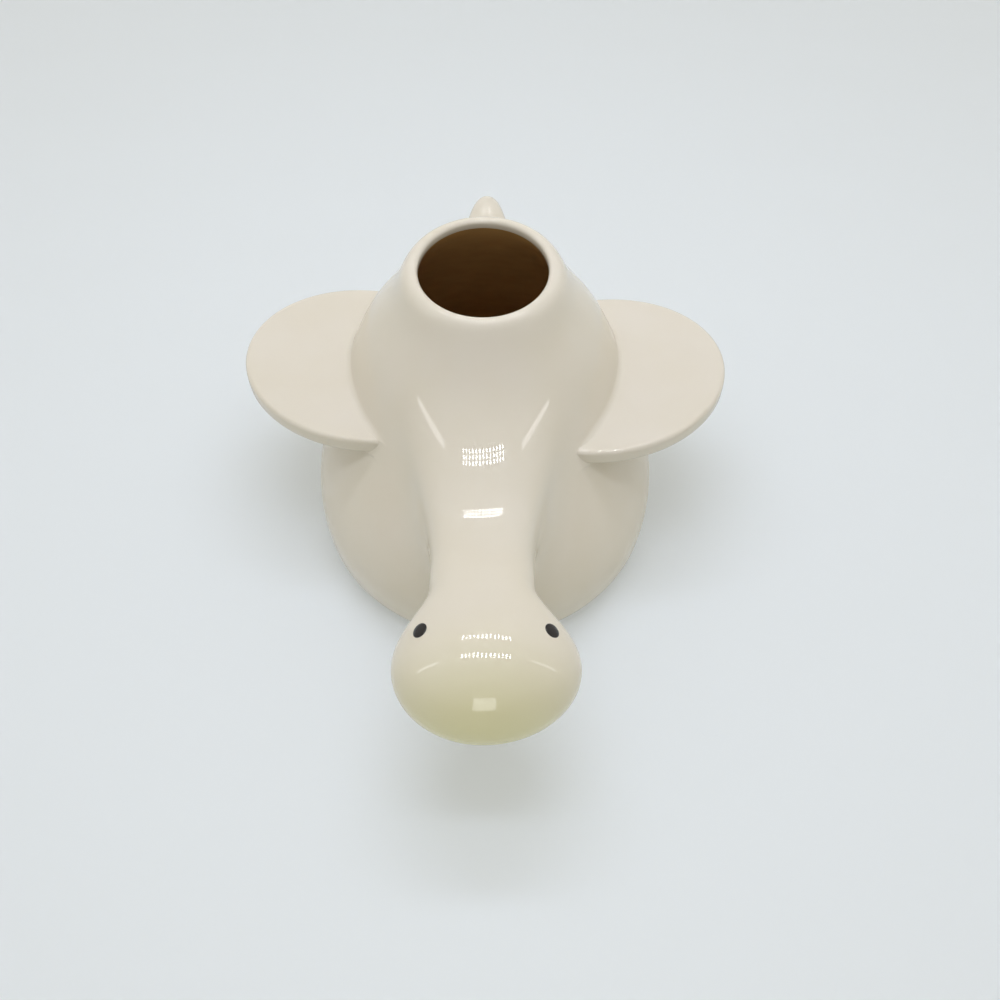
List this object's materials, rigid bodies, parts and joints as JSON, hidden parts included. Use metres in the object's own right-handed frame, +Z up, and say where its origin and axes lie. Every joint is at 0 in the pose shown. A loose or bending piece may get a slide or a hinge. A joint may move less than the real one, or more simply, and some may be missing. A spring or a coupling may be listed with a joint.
{
  "type": "animal shaped planter",
  "caption": "Hollow glazed ceramic planter shaped like a duck-like bird, with an open round mouth, spread wings, a rounded head with eye spots, a short tail and a drain plug.",
  "frame": {"origin": "on the table under the pads, below the middle of the overall length, on the plane between the wings", "axes": "+Z up, -Y the way the head looks, +X to the bird's own left"},
  "size_m": [0.173, 0.208, 0.1015],
  "materials": {
    "ivory_glaze": "gloss",
    "black_glaze": "gloss",
    "silicone": "matte"
  },
  "bodies": {
    "pot": {"body_shell": "ivory_glaze", "head_shell": "ivory_glaze", "left_wing": "ivory_glaze", "right_wing": "ivory_glaze", "tail": "ivory_glaze", "left_eye": "black_glaze", "right_eye": "black_glaze", "front_left_pad": "silicone", "front_right_pad": "silicone", "back_left_pad": "silicone", "back_right_pad": "silicone"},
    "plug": {"drain_plug": "silicone"}
  },
  "joints": [
    {"name": "drain_plug_pull", "type": "slide", "parent": "pot", "child": "plug", "axis": [0, 0, -1], "range_m": [0, 0.014]}
  ]
}
